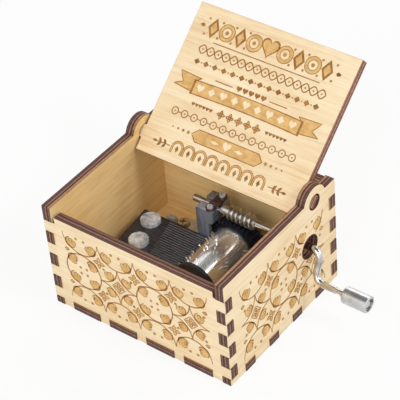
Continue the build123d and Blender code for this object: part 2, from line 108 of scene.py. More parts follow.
def seen_directly(tree):
    """A socket that is 1 for rays from the camera, from glossy surfaces and through clear ones."""
    path = tree.nodes.new("ShaderNodeLightPath")
    first = tree.nodes.new("ShaderNodeMath")
    first.operation = "MAXIMUM"
    tree.links.new(path.outputs["Is Camera Ray"], first.inputs[0])
    tree.links.new(path.outputs["Is Glossy Ray"], first.inputs[1])
    second = tree.nodes.new("ShaderNodeMath")
    second.operation = "MAXIMUM"
    tree.links.new(first.outputs[0], second.inputs[0])
    tree.links.new(path.outputs["Is Transmission Ray"], second.inputs[1])
    return second.outputs[0]


def add_world():
    """A white backdrop that lights the object at a plain level, under a grey ceiling that metal mirrors."""
    world = bpy.data.worlds.new("studio")
    world.use_nodes = True
    bpy.context.scene.world = world
    tree = world.node_tree
    direction = tree.nodes.new("ShaderNodeSeparateXYZ")
    tree.links.new(tree.nodes.new("ShaderNodeTexCoord").outputs["Generated"], direction.inputs[0])
    ceiling = tree.nodes.new("ShaderNodeMapRange")
    ceiling.inputs["From Min"].default_value = sin(radians(CEILING_EDGE[0]))
    ceiling.inputs["From Max"].default_value = sin(radians(CEILING_EDGE[1]))
    ceiling.inputs["To Min"].default_value = 1.0
    ceiling.inputs["To Max"].default_value = CEILING
    tree.links.new(direction.outputs["Z"], ceiling.inputs["Value"])
    level = tree.nodes.new("ShaderNodeMapRange")
    level.inputs["To Min"].default_value = WORLD_LEVEL
    tree.links.new(seen_directly(tree), level.inputs["Value"])
    tree.links.new(ceiling.outputs["Result"], level.inputs["To Max"])
    background = tree.nodes["Background"]
    background.inputs["Color"].default_value = (1, 1, 1, 1)
    tree.links.new(level.outputs["Result"], background.inputs["Strength"])


def add_lamps():
    """Square studio lamps, all aimed at the object."""
    for name, (place, width, watts) in LAMPS.items():
        data = bpy.data.lights.new(name, "AREA")
        data.shape = "SQUARE"
        data.size = width
        data.energy = watts
        lamp = bpy.data.objects.new(name, data)
        lamp.location = place
        lamp.rotation_euler = (Vector(LAMP_AIM) - Vector(place)).to_track_quat("-Z", "Y").to_euler()
        bpy.context.scene.collection.objects.link(lamp)


def add_floor():
    """The pale floor, whitened in a direct view, which still keeps a light shadow."""
    half = FLOOR_SIZE / 2
    corners = [(-half, -half, 0), (half, -half, 0), (half, half, 0), (-half, half, 0)]
    data = bpy.data.meshes.new("floor")
    data.from_pydata(corners, [], [(0, 1, 2, 3)])
    floor = bpy.data.objects.new("floor", data)
    bpy.context.scene.collection.objects.link(floor)
    material = bpy.data.materials.new("floor")
    material.use_nodes = True
    tree = material.node_tree
    shader = tree.nodes["Principled BSDF"]
    shader.inputs["Base Color"].default_value = (FLOOR_COLOUR, FLOOR_COLOUR, FLOOR_COLOUR, 1)
    shader.inputs["Roughness"].default_value = 0.9
    shader.inputs["Specular IOR Level"].default_value = 0.0
    white = tree.nodes.new("ShaderNodeEmission")
    white.inputs["Strength"].default_value = 1.0
    share = tree.nodes.new("ShaderNodeMath")
    share.operation = "MULTIPLY"
    tree.links.new(seen_directly(tree), share.inputs[0])
    share.inputs[1].default_value = FLOOR_WHITE
    mix = tree.nodes.new("ShaderNodeMixShader")
    tree.links.new(share.outputs[0], mix.inputs[0])
    tree.links.new(shader.outputs[0], mix.inputs[1])
    tree.links.new(white.outputs[0], mix.inputs[2])
    tree.links.new(mix.outputs[0], tree.nodes["Material Output"].inputs["Surface"])
    data.materials.append(material)


# ---------------------------------------------------------------- materials


def srgb(red, green, blue):
    """A linear colour from display values of 0 to 255."""
    linear = []
    for value in (red, green, blue):
        share = value / 255
        linear.append(share / 12.92 if share <= 0.04045 else ((share + 0.055) / 1.055) ** 2.4)
    return (*linear, 1.0)


class Finish:
    """A node material under construction."""

    def __init__(self, name):
        self.material = bpy.data.materials.new(name)
        self.material.use_nodes = True
        self.tree = self.material.node_tree
        self.shader = self.tree.nodes["Principled BSDF"]
        self.coordinates = self.tree.nodes.new("ShaderNodeTexCoord")
        self.place = self.coordinates.outputs["Object"]

    def feed(self, socket, value):
        """Links a socket to another, or sets its own value."""
        if isinstance(value, bpy.types.NodeSocket):
            self.tree.links.new(value, socket)
        else:
            socket.default_value = value

    def add(self, kind, inputs, **settings):
        """A shader node with its settings and inputs."""
        node = self.tree.nodes.new("ShaderNode" + kind)
        for key, value in settings.items():
            setattr(node, key, value)
        for key, value in inputs.items():
            self.feed(node.inputs[key], value)
        return node

    def math(self, operation, first, second=0.0):
        return self.add("Math", {0: first, 1: second}, operation=operation).outputs[0]

    def dot(self, vector, direction):
        """A vector's length along a direction."""
        return self.add("VectorMath", {0: vector, 1: direction}, operation="DOT_PRODUCT").outputs["Value"]

    def vector(self, x, y, z):
        return self.add("CombineXYZ", {0: x, 1: y, 2: z}).outputs[0]

    def grey(self, value):
        return self.vector(value, value, value)

    def scaled(self, lengths, factors):
        """A vector of three lengths, each times its own factor."""
        return self.vector(*(self.math("MULTIPLY", *pair) for pair in zip(lengths, factors)))

    def facing(self, direction):
        """How squarely the surface faces a direction, from -1 to 1."""
        return self.dot(self.coordinates.outputs["Normal"], direction)

    def stretched(self, factors):
        """The object's own coordinates, stretched."""
        return self.add("VectorMath", {0: self.place, 1: factors}, operation="MULTIPLY").outputs[0]

    def noise(self, place, scale, detail=2.0, roughness=0.5, distortion=0.0):
        inputs = {
            "Vector": place,
            "Scale": scale,
            "Detail": detail,
            "Roughness": roughness,
            "Distortion": distortion,
        }
        return self.add("TexNoise", inputs).outputs["Fac"]

    def ramp(self, value, stops):
        """A colour ramp with stops of (position, colour)."""
        node = self.add("ValToRGB", {0: value})
        elements = node.color_ramp.elements
        while len(elements) < len(stops):
            elements.new(0.5)
        for element, (position, colour) in zip(elements, stops):
            element.position = position
            element.color = colour
        return node.outputs[0]

    def mix(self, share, first, second, blend="MIX"):
        """Two colours mixed."""
        node = self.add("Mix", {0: share}, data_type="RGBA", blend_type=blend)
        self.feed(node.inputs[6], first)
        self.feed(node.inputs[7], second)
        return node.outputs[2]

    def tinted(self, colour, tint):
        """A colour multiplied by another."""
        return self.mix(1.0, colour, tint, "MULTIPLY")

    def remap(self, value, low, high, to_low, to_high):
        inputs = {0: value, 1: low, 2: high, 3: to_low, 4: to_high}
        return self.add("MapRange", inputs).outputs[0]

    def near_edges(self, radius, most):
        """A share that rises to most within radius (mm) of the surface's sharp edges."""
        rounded = self.add("Bevel", {"Radius": radius * MM}, samples=4).outputs[0]
        flat = self.add("NewGeometry", {}).outputs["Normal"]
        return self.remap(self.dot(rounded, flat), 0.80, 0.99, most, 0.0)

    def bump(self, height, strength, distance):
        inputs = {"Height": height, "Strength": strength, "Distance": distance}
        self.feed(self.shader.inputs["Normal"], self.add("Bump", inputs).outputs[0])

    def set(self, **inputs):
        """Sets or links the shader's inputs, such as Base_Color."""
        for key, value in inputs.items():
            self.feed(self.shader.inputs[key.replace("_", " ")], value)


PLY = 3.0  # thickness of the plywood, mm
FACE_PALE = srgb(252, 233, 197)
FACE_MIDDLE = srgb(246, 220, 178)
FACE_DARK = srgb(233, 199, 151)
BURNT = srgb(104, 72, 63)
BURNT_DEEP = srgb(52, 29, 27)
BURNT_LIGHT = srgb(150, 114, 96)
BURNT_TAN = srgb(122, 88, 74)
RIM_TAN = (2.2, 2.3, 1.75, 1.0)  # how much paler the inner ply of a top edge is
SMOKED = srgb(150, 100, 62)
PLAIN = (1.0, 1.0, 1.0, 1.0)
LIGHT_EDGE = (2.0, 1.9, 1.7, 1.0)  # the lid's edges are less burnt
INSIDE_SHADE = (0.97, 0.88, 0.66, 1.0)  # painted shade: the case's inner faces are darkened to a warmer gold, as the shade inside the case is
FACING = 0.6  # cosine over which a surface counts as facing a direction
INNER_PLY = 0.3  # share of the thickness that the inner ply takes
# noise cells per metre along the grain, across it and through the sheet
FIBRES = (40.0, 700.0, 300.0)
STRIAE = (2400.0, 2400.0, 160.0)
# colours of a cut edge by share of the thickness, from the inner face: a tan inner ply, dark glue
# lines, a light line in the core and a scorched outer ply
PLIES = [
    (0.00, BURNT_DEEP),
    (0.08, BURNT_TAN),
    (0.24, BURNT_TAN),
    (0.34, BURNT_DEEP),
    (0.46, BURNT),
    (0.53, BURNT_LIGHT),
    (0.60, BURNT_LIGHT),
    (0.67, BURNT_DEEP),
    (0.76, BURNT),
    (0.94, BURNT),
    (1.00, BURNT_DEEP),
]


def wood_face(finish, lengths, depth, tint):
    """The colour of a face and the two noises of its grain.

    It has long soft fibres, finer dark lines and a slow change of tone. tint colours the inner half, which
    on the case's panels is painted warm shade.
    """
    fibres = finish.scaled(lengths, FIBRES)
    soft = finish.noise(fibres, 1.0, 4.0, 0.6, 0.5)
    fine = finish.noise(fibres, 3.1, 2.0, 0.6)
    slow = finish.noise(finish.place, 55.0, 2.0)
    tone = finish.math("ADD", finish.math("MULTIPLY", soft, 0.6), finish.math("MULTIPLY", slow, 0.4))
    colour = finish.ramp(tone, [(0.32, FACE_DARK), (0.46, FACE_MIDDLE), (0.62, FACE_PALE)])
    colour = finish.tinted(colour, finish.grey(finish.remap(fine, 0.30, 0.44, 0.88, 1.0)))
    # painted shade: the half towards the inner face takes the darker, more golden tint
    inside = finish.math("LESS_THAN", depth, 0.5)
    return finish.mix(inside, colour, finish.tinted(colour, tint)), soft, fine


def cut_edge(finish, lengths, depth, rim):
    """The colour of a cut edge and the noise of its striae. rim colours the inner ply of the top edge."""
    wander = finish.math("SUBTRACT", finish.noise(finish.place, 260.0), 0.5)
    uneven = finish.math("ADD", depth, finish.math("MULTIPLY", wander, 0.14))
    striae = finish.noise(finish.scaled(lengths, STRIAE), 1.0)
    colour = finish.ramp(uneven, PLIES)
    colour = finish.tinted(colour, finish.grey(finish.remap(striae, 0.3, 0.7, 0.70, 1.25)))
    on_top = finish.math("GREATER_THAN", finish.facing((0, 0, 1)), FACING)
    inner_ply = finish.math("MULTIPLY", on_top, finish.math("LESS_THAN", uneven, INNER_PLY))
    return finish.mix(inner_ply, colour, finish.tinted(colour, rim)), striae


def plywood(name, outward, inner_face, grain, tint=INSIDE_SHADE, rim=PLAIN, edge=PLAIN):
    """Plywood of one panel: pale faces with grain, and burnt cut edges that show the three plies.

    The sheet lies across outward, its inner face inner_face mm along it, and its grain runs along
    grain. tint colours the inner face with painted warm shade, rim the inner ply of the top edge, and edge
    all the cut edges.
    """
    finish = Finish(name)
    outward, grain = Vector(outward), Vector(grain)
    directions = (grain, outward.cross(grain), outward)
    lengths = [finish.dot(finish.place, direction) for direction in directions]
    depth = finish.math("DIVIDE", finish.math("SUBTRACT", lengths[2], inner_face * MM), PLY * MM)
    face, soft, fine = wood_face(finish, lengths, depth, tint)
    plies, striae = cut_edge(finish, lengths, depth, rim)
    # smoke has browned the faces a little beside each cut, and the cut is darkest along its own edges
    near_edge = finish.near_edges(0.4, 0.6)
    face = finish.mix(near_edge, face, SMOKED)
    plies = finish.mix(near_edge, finish.tinted(plies, edge), BURNT_DEEP)
    on_edge = finish.math("LESS_THAN", finish.math("ABSOLUTE", finish.facing(outward)), FACING)
    finish.set(
        Base_Color=finish.mix(on_edge, face, plies),
        Roughness=finish.remap(fine, 0.3, 0.7, 0.75, 0.58),
    )
    finish.shader.inputs["Specular IOR Level"].default_value = 0.25
    finish.bump(finish.math("ADD", soft, striae), 0.2, 0.05 * MM)
    return finish.material


def engraved(name, pale, dark):
    """Wood burnt by the laser in fine raster lines, browner in some places than in others."""
    finish = Finish(name)
    patches = finish.noise(finish.place, 420.0, 3.0, 0.6)
    raster = finish.noise(finish.stretched((160.0, 160.0, 5200.0)), 1.0, 1.0)
    tone = finish.math("ADD", finish.math("MULTIPLY", patches, 0.7), finish.math("MULTIPLY", raster, 0.3))
    finish.set(Base_Color=finish.ramp(tone, [(0.36, dark), (0.60, pale)]), Roughness=0.75)
    finish.shader.inputs["Specular IOR Level"].default_value = 0.15
    finish.bump(raster, 0.3, 0.03 * MM)
    return finish.material


def metal(name, pale, dark, rough, blotch, stretch=(1, 1, 1), bump=0.08, metallic=1.0, cut=None):
    """Bare or plated metal: a mottled tone, wear in its gloss between two roughnesses, a shallow grain.

    blotch is the number of blotches per metre, which stretch multiplies on each axis, and cut is a
    painted glint: a brighter colour on the faces that face along Y, where the comb's teeth catch the light.
    """
    finish = Finish(name)
    place = finish.stretched(stretch)
    mottle = finish.noise(place, blotch, 3.0, 0.6)
    wear = finish.noise(place, blotch * 3.3, 3.0, 0.65)
    colour = finish.ramp(mottle, [(0.34, dark), (0.62, pale)])
    if cut:
        # painted glint: the faces that face along Y take the brighter colour
        aside = finish.math("ABSOLUTE", finish.facing((0, 1, 0)))
        colour = finish.mix(finish.math("GREATER_THAN", aside, FACING), colour, cut)
    finish.set(Base_Color=colour, Roughness=finish.remap(wear, 0.3, 0.7, *rough))
    finish.shader.inputs["Metallic"].default_value = metallic
    finish.bump(wear, bump, 0.04 * MM)
    return finish.material


def moulded(name, colour, dusty, rough):
    """Black moulded plastic with a faint unevenness and some dust."""
    finish = Finish(name)
    dust = finish.noise(finish.place, 900.0, 3.0, 0.7)
    flow = finish.noise(finish.place, 160.0)
    finish.set(
        Base_Color=finish.ramp(dust, [(0.55, colour), (0.80, dusty)]),
        Roughness=finish.remap(flow, 0.3, 0.7, rough, rough + 0.14),
    )
    finish.shader.inputs["Specular IOR Level"].default_value = 0.4
    finish.bump(dust, 0.05, 0.03 * MM)
    return finish.material


def turned(name):
    """Aluminium from the lathe, with fine rings round the knob's own axis."""
    finish = Finish(name)
    low, high = (Vector(corner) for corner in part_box("knob"))
    middle = (low + high) / 2
    offset = finish.add("VectorMath", {0: finish.place, 1: middle}, operation="SUBTRACT").outputs[0]
    flat = finish.add("VectorMath", {0: offset, 1: (0, 1, 1)}, operation="MULTIPLY").outputs[0]
    radius = finish.add("VectorMath", {0: flat}, operation="LENGTH").outputs["Value"]
    step = finish.dot(finish.place, (1, 0, 0))
    rings = finish.noise(finish.vector(finish.math("ADD", radius, step), 0.0, 0.0), 5200.0, 1.0)
    spots = finish.noise(finish.place, 500.0, 3.0)
    finish.set(
        Base_Color=finish.ramp(spots, [(0.3, srgb(186, 187, 190)), (0.7, srgb(216, 216, 216))]),
        Roughness=finish.remap(rings, 0.3, 0.7, 0.22, 0.40),
    )
    finish.shader.inputs["Metallic"].default_value = 1.0
    finish.bump(rings, 0.10, 0.05 * MM)
    return finish.material


def paint(material, *names):
    """Gives the material to CAD nodes."""
    for name in names:
        slots = nodes[name].data.materials
        slots.clear()
        slots.append(material)


def soften(width, *names):
    """Rounds the sharp edges of CAD nodes a little, so that they catch the light."""
    for name in names:
        bevel = nodes[name].modifiers.new("round", "BEVEL")
        bevel.width = width * MM
        bevel.segments = 2
        bevel.limit_method = "ANGLE"
        bevel.angle_limit = radians(40)
        bevel.harden_normals = True


# ---------------------------------------------------------------- engraving

LINE_TOP = 0.05  # height of the drawn lines over the face, mm
FILL_TOP = 0.03  # height of the filled shapes
SUNK = 0.12  # how deep every engraved piece sits in the wood
STEP = 0.02  # height of a stroke over the shape that it is drawn on
RELIEF_TOP = 0.08  # height of the pale signs on a banner
OUTLINE = 0.21  # width of the brown that shows on each side of a golden stroke
BROWN, GOLDEN, SEED, RELIEF = range(4)  # material slots of an engraving


class Engraving:
    """Ornament on one face, drawn in millimetres across and up from a corner of the face."""

    def __init__(self, name, body, corner, across, up, hole=None):
        self.name, self.body = name, body
        self.corner, self.across, self.up = Vector(corner), Vector(across), Vector(up)
        self.outward = self.across.cross(self.up)
        self.hole = hole  # (across, up, radius) that no ornament crosses
        self.mesh = bmesh.new()

    def vertex(self, point, height):
        spot = self.corner + self.across * point[0] + self.up * point[1] + self.outward * height
        return self.mesh.verts.new(spot * MM)

    def free(self, point, margin=0.0):
        """Whether a drawn point is clear of the hole."""
        if self.hole is None:
            return True
        return hypot(point[0] - self.hole[0], point[1] - self.hole[1]) > self.hole[2] + margin

    def solid(self, faces, tone):
        for corners in faces:
            self.mesh.faces.new(corners).material_index = tone

    def ribbon(self, left, right, top, tone, closed):
        """A solid band between two rails of drawn points."""
        rings = []  # of four corners, round the band's section
        for a, b in zip(left, right):
            rings.append([self.vertex(*corner) for corner in ((a, top), (b, top), (b, -SUNK), (a, -SUNK))])
        pairs = list(zip(rings, rings[1:]))
        if closed:
            pairs.append((rings[-1], rings[0]))
        else:
            self.solid([rings[0], rings[-1][::-1]], tone)
        for first, second in pairs:
            self.solid([(first[i], first[i - 3], second[i - 3], second[i]) for i in range(4)], tone)

    def line(self, points, width, taper=0.0, closed=False, tone=BROWN, top=LINE_TOP):
        """A stroke along points, which loses taper of its width towards its ends."""
        if not all(self.free(point) for point in points):
            self.broken_line(points, width, taper, tone, top)
            return
        last = len(points) - 1
        left, right = [], []
        for i, (x, y) in enumerate(points):
            before = points[i - 1] if i or closed else points[0]
            after = points[(i + 1) % (last + 1)] if i < last or closed else points[last]
            dx, dy = after[0] - before[0], after[1] - before[1]
            length = hypot(dx, dy)
            share = 1.0 if closed else 1 - taper * (1 - sin(pi * i / last))
            half = width / 2 * share / length
            left.append((x - dy * half, y + dx * half))
            right.append((x + dy * half, y - dx * half))
        self.ribbon(left, right, top, tone, closed)

    def broken_line(self, points, width, taper, tone, top):
        """The runs of a stroke that are clear of the hole."""
        run = []
        for point in [*points, None]:
            if point is not None and self.free(point):
                run.append(point)
                continue
            if len(run) > 2:
                self.line(run, width, taper, False, tone, top)
            run = []

    def shape(self, outline, tone=GOLDEN, top=FILL_TOP):
        """A filled shape inside a closed outline."""
        if not all(self.free(point, 0.2) for point in outline):
            return
        upper = [self.vertex(point, top) for point in outline]
        lower = [self.vertex(point, -SUNK) for point in outline]
        sides = [(upper[i], upper[i - 1], lower[i - 1], lower[i]) for i in range(len(outline))]
        self.solid([upper, lower[::-1], *sides], tone)

    def banded(self, points, width, closed=False):
        """A golden stroke with a brown outline."""
        self.line(points, width, closed=closed, top=FILL_TOP)
        self.line(points, width - 2 * OUTLINE, closed=closed, tone=GOLDEN)

    def finish(self, materials):
        """Makes the piece, which rides on its body."""
        bmesh.ops.triangulate(self.mesh, faces=[face for face in self.mesh.faces if len(face.verts) > 4])
        bmesh.ops.recalc_face_normals(self.mesh, faces=self.mesh.faces)
        data = bpy.data.meshes.new(self.name)
        self.mesh.to_mesh(data)
        self.mesh.free()
        for material in materials:
            data.materials.append(material)
        piece = bpy.data.objects.new(self.name, data)
        bpy.context.scene.collection.objects.link(piece)
        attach(piece, self.body)


def arc(centre, radius, start, stop, count=22):
    """Points of an arc between two angles in degrees."""
    angles = [radians(start + (stop - start) * i / count) for i in range(count + 1)]
    return [(centre[0] + radius * cos(angle), centre[1] + radius * sin(angle)) for angle in angles]


def segments(corners, count=4, closed=False):
    """Points along straight runs between corners."""
    ends = corners[1:] + corners[:1] if closed else corners[1:]
    points = []
    for (x, y), (to_x, to_y) in zip(corners, ends):
        points += [(x + (to_x - x) * i / count, y + (to_y - y) * i / count) for i in range(count)]
    return points if closed else [*points, corners[-1]]


def moved(points, centre, turn=0.0, flip=1, size=1.0):
    """A motif's points, mirrored, turned by degrees, scaled and moved to centre."""
    c, s = cos(radians(turn)) * size, sin(radians(turn)) * size
    return [(centre[0] + x * flip * c - y * s, centre[1] + x * flip * s + y * c) for x, y in points]


LEAF_STROKES = [
    # (points, width)
    (arc((0.1, 0.0), 1.95, 62, 268, 18), 0.46),  # the dark back
    (arc((0.62, 0.62), 0.62, -110, 190, 12), 0.36),  # the curled tip
    (arc((0.55, -0.35), 1.25, -95, 20, 10), 0.24),  # the inner fold
]


LEAF_HALF_WIDTH = 1.702
LEAF_HALF_HEIGHT = 1.998
NOTCH_ANGLE = 42  # degrees, as the notch's width is
NOTCH_WIDTH = 24
NOTCH_DEPTH = 0.45  # as a share of the leaf's radius


def curled_leaf(count=34):
    """Outline of a round leaf with a notch where its tip curls in."""
    outline = []
    for i in range(count):
        angle = 360 * i / count
        away = (angle - NOTCH_ANGLE + 180) % 360 - 180
        share = 1 - NOTCH_DEPTH * exp(-((away / NOTCH_WIDTH) ** 2))
        x = LEAF_HALF_WIDTH * share * cos(radians(angle))
        y = LEAF_HALF_HEIGHT * share * sin(radians(angle))
        outline.append((x, y))
    return outline


LEAF = curled_leaf()


def leaf(drawing, centre, facing, size=1.0):
    """A curled leaf whose dark back faces an angle."""
    flip = -1 if cos(radians(facing)) > 0 else 1
    turn = facing if flip < 0 else facing - 180
    if not drawing.free(centre, 1.6 * size):
        return
    drawing.shape(moved(LEAF, centre, turn, flip, size))
    for points, width in LEAF_STROKES:
        drawing.line(moved(points, centre, turn, flip, size), width * size, 0.5)


def dot(drawing, centre, radius=0.48):
    """A round seed."""
    drawing.shape(arc(centre, radius, 0, 324, 9), SEED, LINE_TOP)


PETAL = [(0, 0.35), (0.5, 0.75), (0.55, 1.2), (0, 2.05), (-0.55, 1.2), (-0.5, 0.75)]
KNOT_FRAME = [(0, 2.4), (2.4, 0), (0, -2.4), (-2.4, 0)]


def knot(drawing, centre, size, framed=False, turns=(0, 90, 180, 270)):
    """A diamond of leaflets, with or without its frame."""
    for turn in turns:
        petal = moved(PETAL, centre, turn, 1, size)
        drawing.shape(petal)
        drawing.line(petal, 0.32, closed=True)
    if framed:
        drawing.line(moved(segments(KNOT_FRAME, closed=True), centre), 0.26, closed=True)


MOTIF_STROKE = 0.42
MOTIF_GAP = 0.2  # between the rings of one row and the half rings of the next


def ring_motif(drawing, u, v, radius):
    """A ring with a leaf in each quarter and four seeds."""
    drawing.line(arc((u, v), radius, 0, 352, 44), MOTIF_STROKE, closed=True)
    for side in (-1, 1):
        for rise in (-1, 1):
            leaf(drawing, (u + side * 0.56 * radius, v + rise * 0.55 * radius), 90 - side * (90 - rise * 45))
            dot(drawing, (u + side * 1.15, v + rise * 1.15))


def diamond_motif(drawing, u, v, radius, spacing, row):
    """A framed knot between four inward arcs, with a leaf and a seed in each arc."""
    knot(drawing, (u, v), 0.9, True)
    for side in (-1, 1):
        for rise in (-1, 1):
            centre = (u + side * spacing / 2, v + rise * row / 2)
            stop = 0 if side < 0 else -180 * rise
            drawing.line(arc(centre, radius, -90 * rise, stop, 14), MOTIF_STROKE, 0.4)
            back = 90 - side * (90 - rise * 45) + 180
            leaf(drawing, (u + side * 3.2, v + rise * 3.35), back, 0.9)
            dot(drawing, (u + side * 5.05, v + rise * 4.8))


def half_ring(drawing, u, v, radius, rise):
    """A half ring that opens up (rise 1) or down (rise -1), with two leaves and two seeds."""
    drawing.line(arc((u, v), radius, 0, -180 * rise), MOTIF_STROKE, 0.5)
    for side in (-1, 1):
        leaf(drawing, (u + side * 0.57 * radius, v - rise * 0.50 * radius), 90 - side * (90 + rise * 40))
        dot(drawing, (u + side * 1.4, v - rise * 0.9))


def medallions(drawing, first, spacing, count, radius, middle, rings):
    """Rings, half rings and knots in a lattice, as on old floor tiles.

    Its columns start at first and lie spacing apart, and rings says which of them hold whole rings.
    """
    columns = [first + spacing * i for i in range(count)]
    row = 2 * radius + MOTIF_GAP
    for column, u in enumerate(columns):
        half_ring(drawing, u, middle + row, radius, 1)
        half_ring(drawing, u, middle - row, radius, -1)
        if column in rings:
            ring_motif(drawing, u, middle, radius)
        else:
            diamond_motif(drawing, u, middle, radius, spacing, row)
    for rise in (-1, 1):
        for u in columns[:-1]:
            knot(drawing, (u + spacing / 2, middle + rise * row / 2), 1.05)
        knot(drawing, (columns[0] - spacing / 2, middle + rise * row / 2), 0.95, turns=(270,))
        knot(drawing, (columns[-1] + spacing / 2, middle + rise * row / 2), 0.95, turns=(90,))


# ---------------------------------------------------------------- the lid's ornament

LID_SLOPE = radians(40)
LID_DIRECTION = Vector((0, cos(LID_SLOPE), sin(LID_SLOPE)))  # from the hinge to the lid's free edge
LID_NORMAL = Vector((0, -sin(LID_SLOPE), cos(LID_SLOPE)))  # out of its inner face
LID_HINGE = Vector((0, 17.0, 36.8))
LID_LENGTH = 48.8  # from the tail to the free edge
LID_TAIL = 5.9  # length of the lid behind its hinge
LID_WIDTH = 58.0
LID_MIDDLE = 28.3  # the ornament's own middle, from the lid's left edge
THIN = 0.28  # width of a thin stroke
WAVE_STEP = 0.35  # between two points of a wave


def heart(size, count=28):
    """Outline of a heart about size wide and high."""
    outline = []
    for i in range(count):
        t = 2 * pi * i / count
        x = 16 * sin(t) ** 3
        y = 13 * cos(t) - 5 * cos(2 * t) - 2 * cos(3 * t) - cos(4 * t)
        outline.append((x * size / 32, (y + 2.5) * size / 30))
    return outline


def lozenge(half_width, half_height):
    """Outline of a lozenge round the origin."""
    return [(-half_width, 0), (0, -half_height), (half_width, 0), (0, half_height)]


def wave(start, stop, middle, height, length, phase):
    """Points of a sine wave."""
    count = round((stop - start) / WAVE_STEP)
    points = []
    for i in range(count + 1):
        x = start + (stop - start) * i / count
        points.append((x, middle + height * sin(2 * pi * (x - start) / length + phase)))
    return points


def bold_row(drawing, v, left, right, middle):
    """The top band: a heart between bold rings and lozenges, with seeds and a leaf at each end."""
    drawing.shape(moved(heart(6.4), (middle, v)), BROWN, FILL_TOP)
    drawing.shape(moved(heart(5.3), (middle, v)), GOLDEN, LINE_TOP)
    diamond = lozenge(2.0, 3.3)
    first = 1.12  # steps from the middle to the first ring
    last = 4.85  # steps from the middle to the row's end
    for end in (left, right):
        step = (end - middle) / last
        for place in range(4):
            x = middle + step * (place + first)
            if place % 2:
                drawing.shape(moved(diamond, (x, v)), BROWN, FILL_TOP)
                drawing.shape(moved(diamond, (x, v), size=0.6), GOLDEN, LINE_TOP)
            else:
                drawing.banded(arc((x, v), 2.15, 0, 348, 29), 1.3, closed=True)
                dot(drawing, (x, v), 0.62)
            for rise in (-1, 1):
                dot(drawing, (x + step / 2, v + rise * 2.5), 0.4)
        turn = -90 if step > 0 else 90
        drawing.shape(moved(PETAL, (end - step * 0.18, v), turn, 1, 1.1), BROWN, LINE_TOP)


def guilloche(drawing, v, left, right, height):
    """Two thin waves that cross, with a seed in every loop."""
    waves = 8
    length = (right - left) / waves
    for phase in (0, pi):
        drawing.line(wave(left, right, v, height, length, phase), 0.34)
    for i in range(2 * waves):
        dot(drawing, (left + length * (i + 0.5) / 2, v), 0.3)


def lozenge_row(drawing, v, left, right, height, pitch):
    """Small filled lozenges with a seed between each two."""
    count = int((right - left) / pitch)
    step = (right - left) / count
    half = height / 2
    for i in range(count):
        x = left + step * (i + 0.5)
        drawing.shape(moved(lozenge(half * 1.1, half), (x, v)), BROWN, LINE_TOP)
        if i:
            dot(drawing, (x - step / 2, v), 0.26)


def heart_row(drawing, v, left, right, size, count):
    """A row of little hearts."""
    for i in range(count):
        x = left + (right - left) * (i + 0.5) / count
        drawing.shape(moved(heart(size, 16), (x, v)), BROWN, LINE_TOP)


def knot_row(drawing, v, first, pitch, count):
    """A row of small knots."""
    for place in range(count):
        knot(drawing, (first + pitch * place, v), 0.68)


def rule(drawing, v, left, right, width):
    """A straight thin line."""
    drawing.line(segments([(left, v), (right, v)]), width)


def ring_chain(drawing, v, left, right, radius):
    """A chain of thin rings joined by short bars."""
    bar = 1.1
    gap = 0.2
    count = int((right - left) / (radius * 2 + bar))
    step = (right - left) / count
    for i in range(count):
        x = left + step * (i + 0.5)
        drawing.line(arc((x, v), radius, 0, 338, 16), 0.30, closed=True)
        dot(drawing, (x, v), 0.28)
        if i:
            rule(drawing, v, x - step + radius + gap, x - radius - gap, THIN)


def sprig(drawing, centre, side):
    """A stem with five small leaves that points away from the middle."""
    stem = [(-2.9, 0), (-1.4, 0.1), (0, 0), (1.4, -0.1), (2.6, 0)]
    drawing.line(moved(stem, centre, 0, side), THIN)
    blade = [(0, 0), (0.45, 0.55), (0.4, 1.1), (0, 1.7), (-0.35, 1.0), (-0.35, 0.5)]
    for x, turn in ((-1.2, -35), (-1.2, 215), (0.5, -38), (0.5, 218), (1.9, -90)):
        drawing.shape(moved(moved(blade, (x, 0), turn), centre, 0, side), BROWN, LINE_TOP)


def arched_row(drawing, v, left, right, height):
    """Bold arches with a long lozenge in each."""
    drop = [(-0.62, -0.5), (0, -1.5), (0.62, -0.5), (0, 0.6)]
    count = 8
    step = (right - left) / count
    low = v - height / 2
    for i in range(count):
        x = left + step * (i + 0.5)
        reach = step * 0.43
        sides = segments([(x - reach, low), (x - reach, v)], 3)[:-1]
        top = arc((x, v), reach, 180, 0, 10)
        drawing.banded([*sides, *top, *segments([(x + reach, v), (x + reach, low)], 3)[1:]], 0.78)
        drawing.shape(moved(drop, (x, v)), BROWN, LINE_TOP)


def ribbon_banner(drawing, v, left, right):
    """A golden banner, slightly arched, with forked tails folded behind it."""
    half = 2.15  # of the banner's height
    rise = 0.45  # of its arch
    over = LINE_TOP + STEP
    middle = (left + right) / 2
    reach = (right - left) / 2

    def bow(x):
        return rise * (1 - ((x - middle) / reach) ** 2)

    for side in (-1, 1):
        end = middle + side * reach
        tail = [
            (end - side * 2.2, v + half + 1.0),
            (end + side * 5.8, v + half + 1.4),
            (end + side * 3.6, v + 0.5),
            (end + side * 6.4, v - half + 1.3),
            (end - side * 0.4, v - half + 0.6),
            (end - side * 0.4, v + half - 0.2),
        ]
        drawing.shape(tail, GOLDEN, FILL_TOP - STEP / 2)
        drawing.line(segments(tail, closed=True), 0.26, closed=True, top=FILL_TOP)
    count = 24
    stations = [left + (right - left) * i / count for i in range(count + 1)]
    upper = [(x, v + half + bow(x)) for x in stations]
    lower = [(x, y - 2 * half) for x, y in reversed(upper)]
    drawing.shape([*upper, *lower], GOLDEN, LINE_TOP)
    for rail in (upper, lower):
        drawing.line(rail, 0.3, top=over)
    for side in (-1, 1):
        x = middle + side * (reach - 0.35)
        drawing.line(segments([(x, v - half), (x, v + half)]), 0.7, top=over)
    places = 9
    margin = 3.0
    for i in range(places):
        x = left + margin + (right - left - 2 * margin) * i / (places - 1)
        sign = lozenge(1.3, 1.25) if i % 2 else heart(2.6, 20)
        drawing.shape(moved(sign, (x, v + bow(x))), RELIEF, RELIEF_TOP)


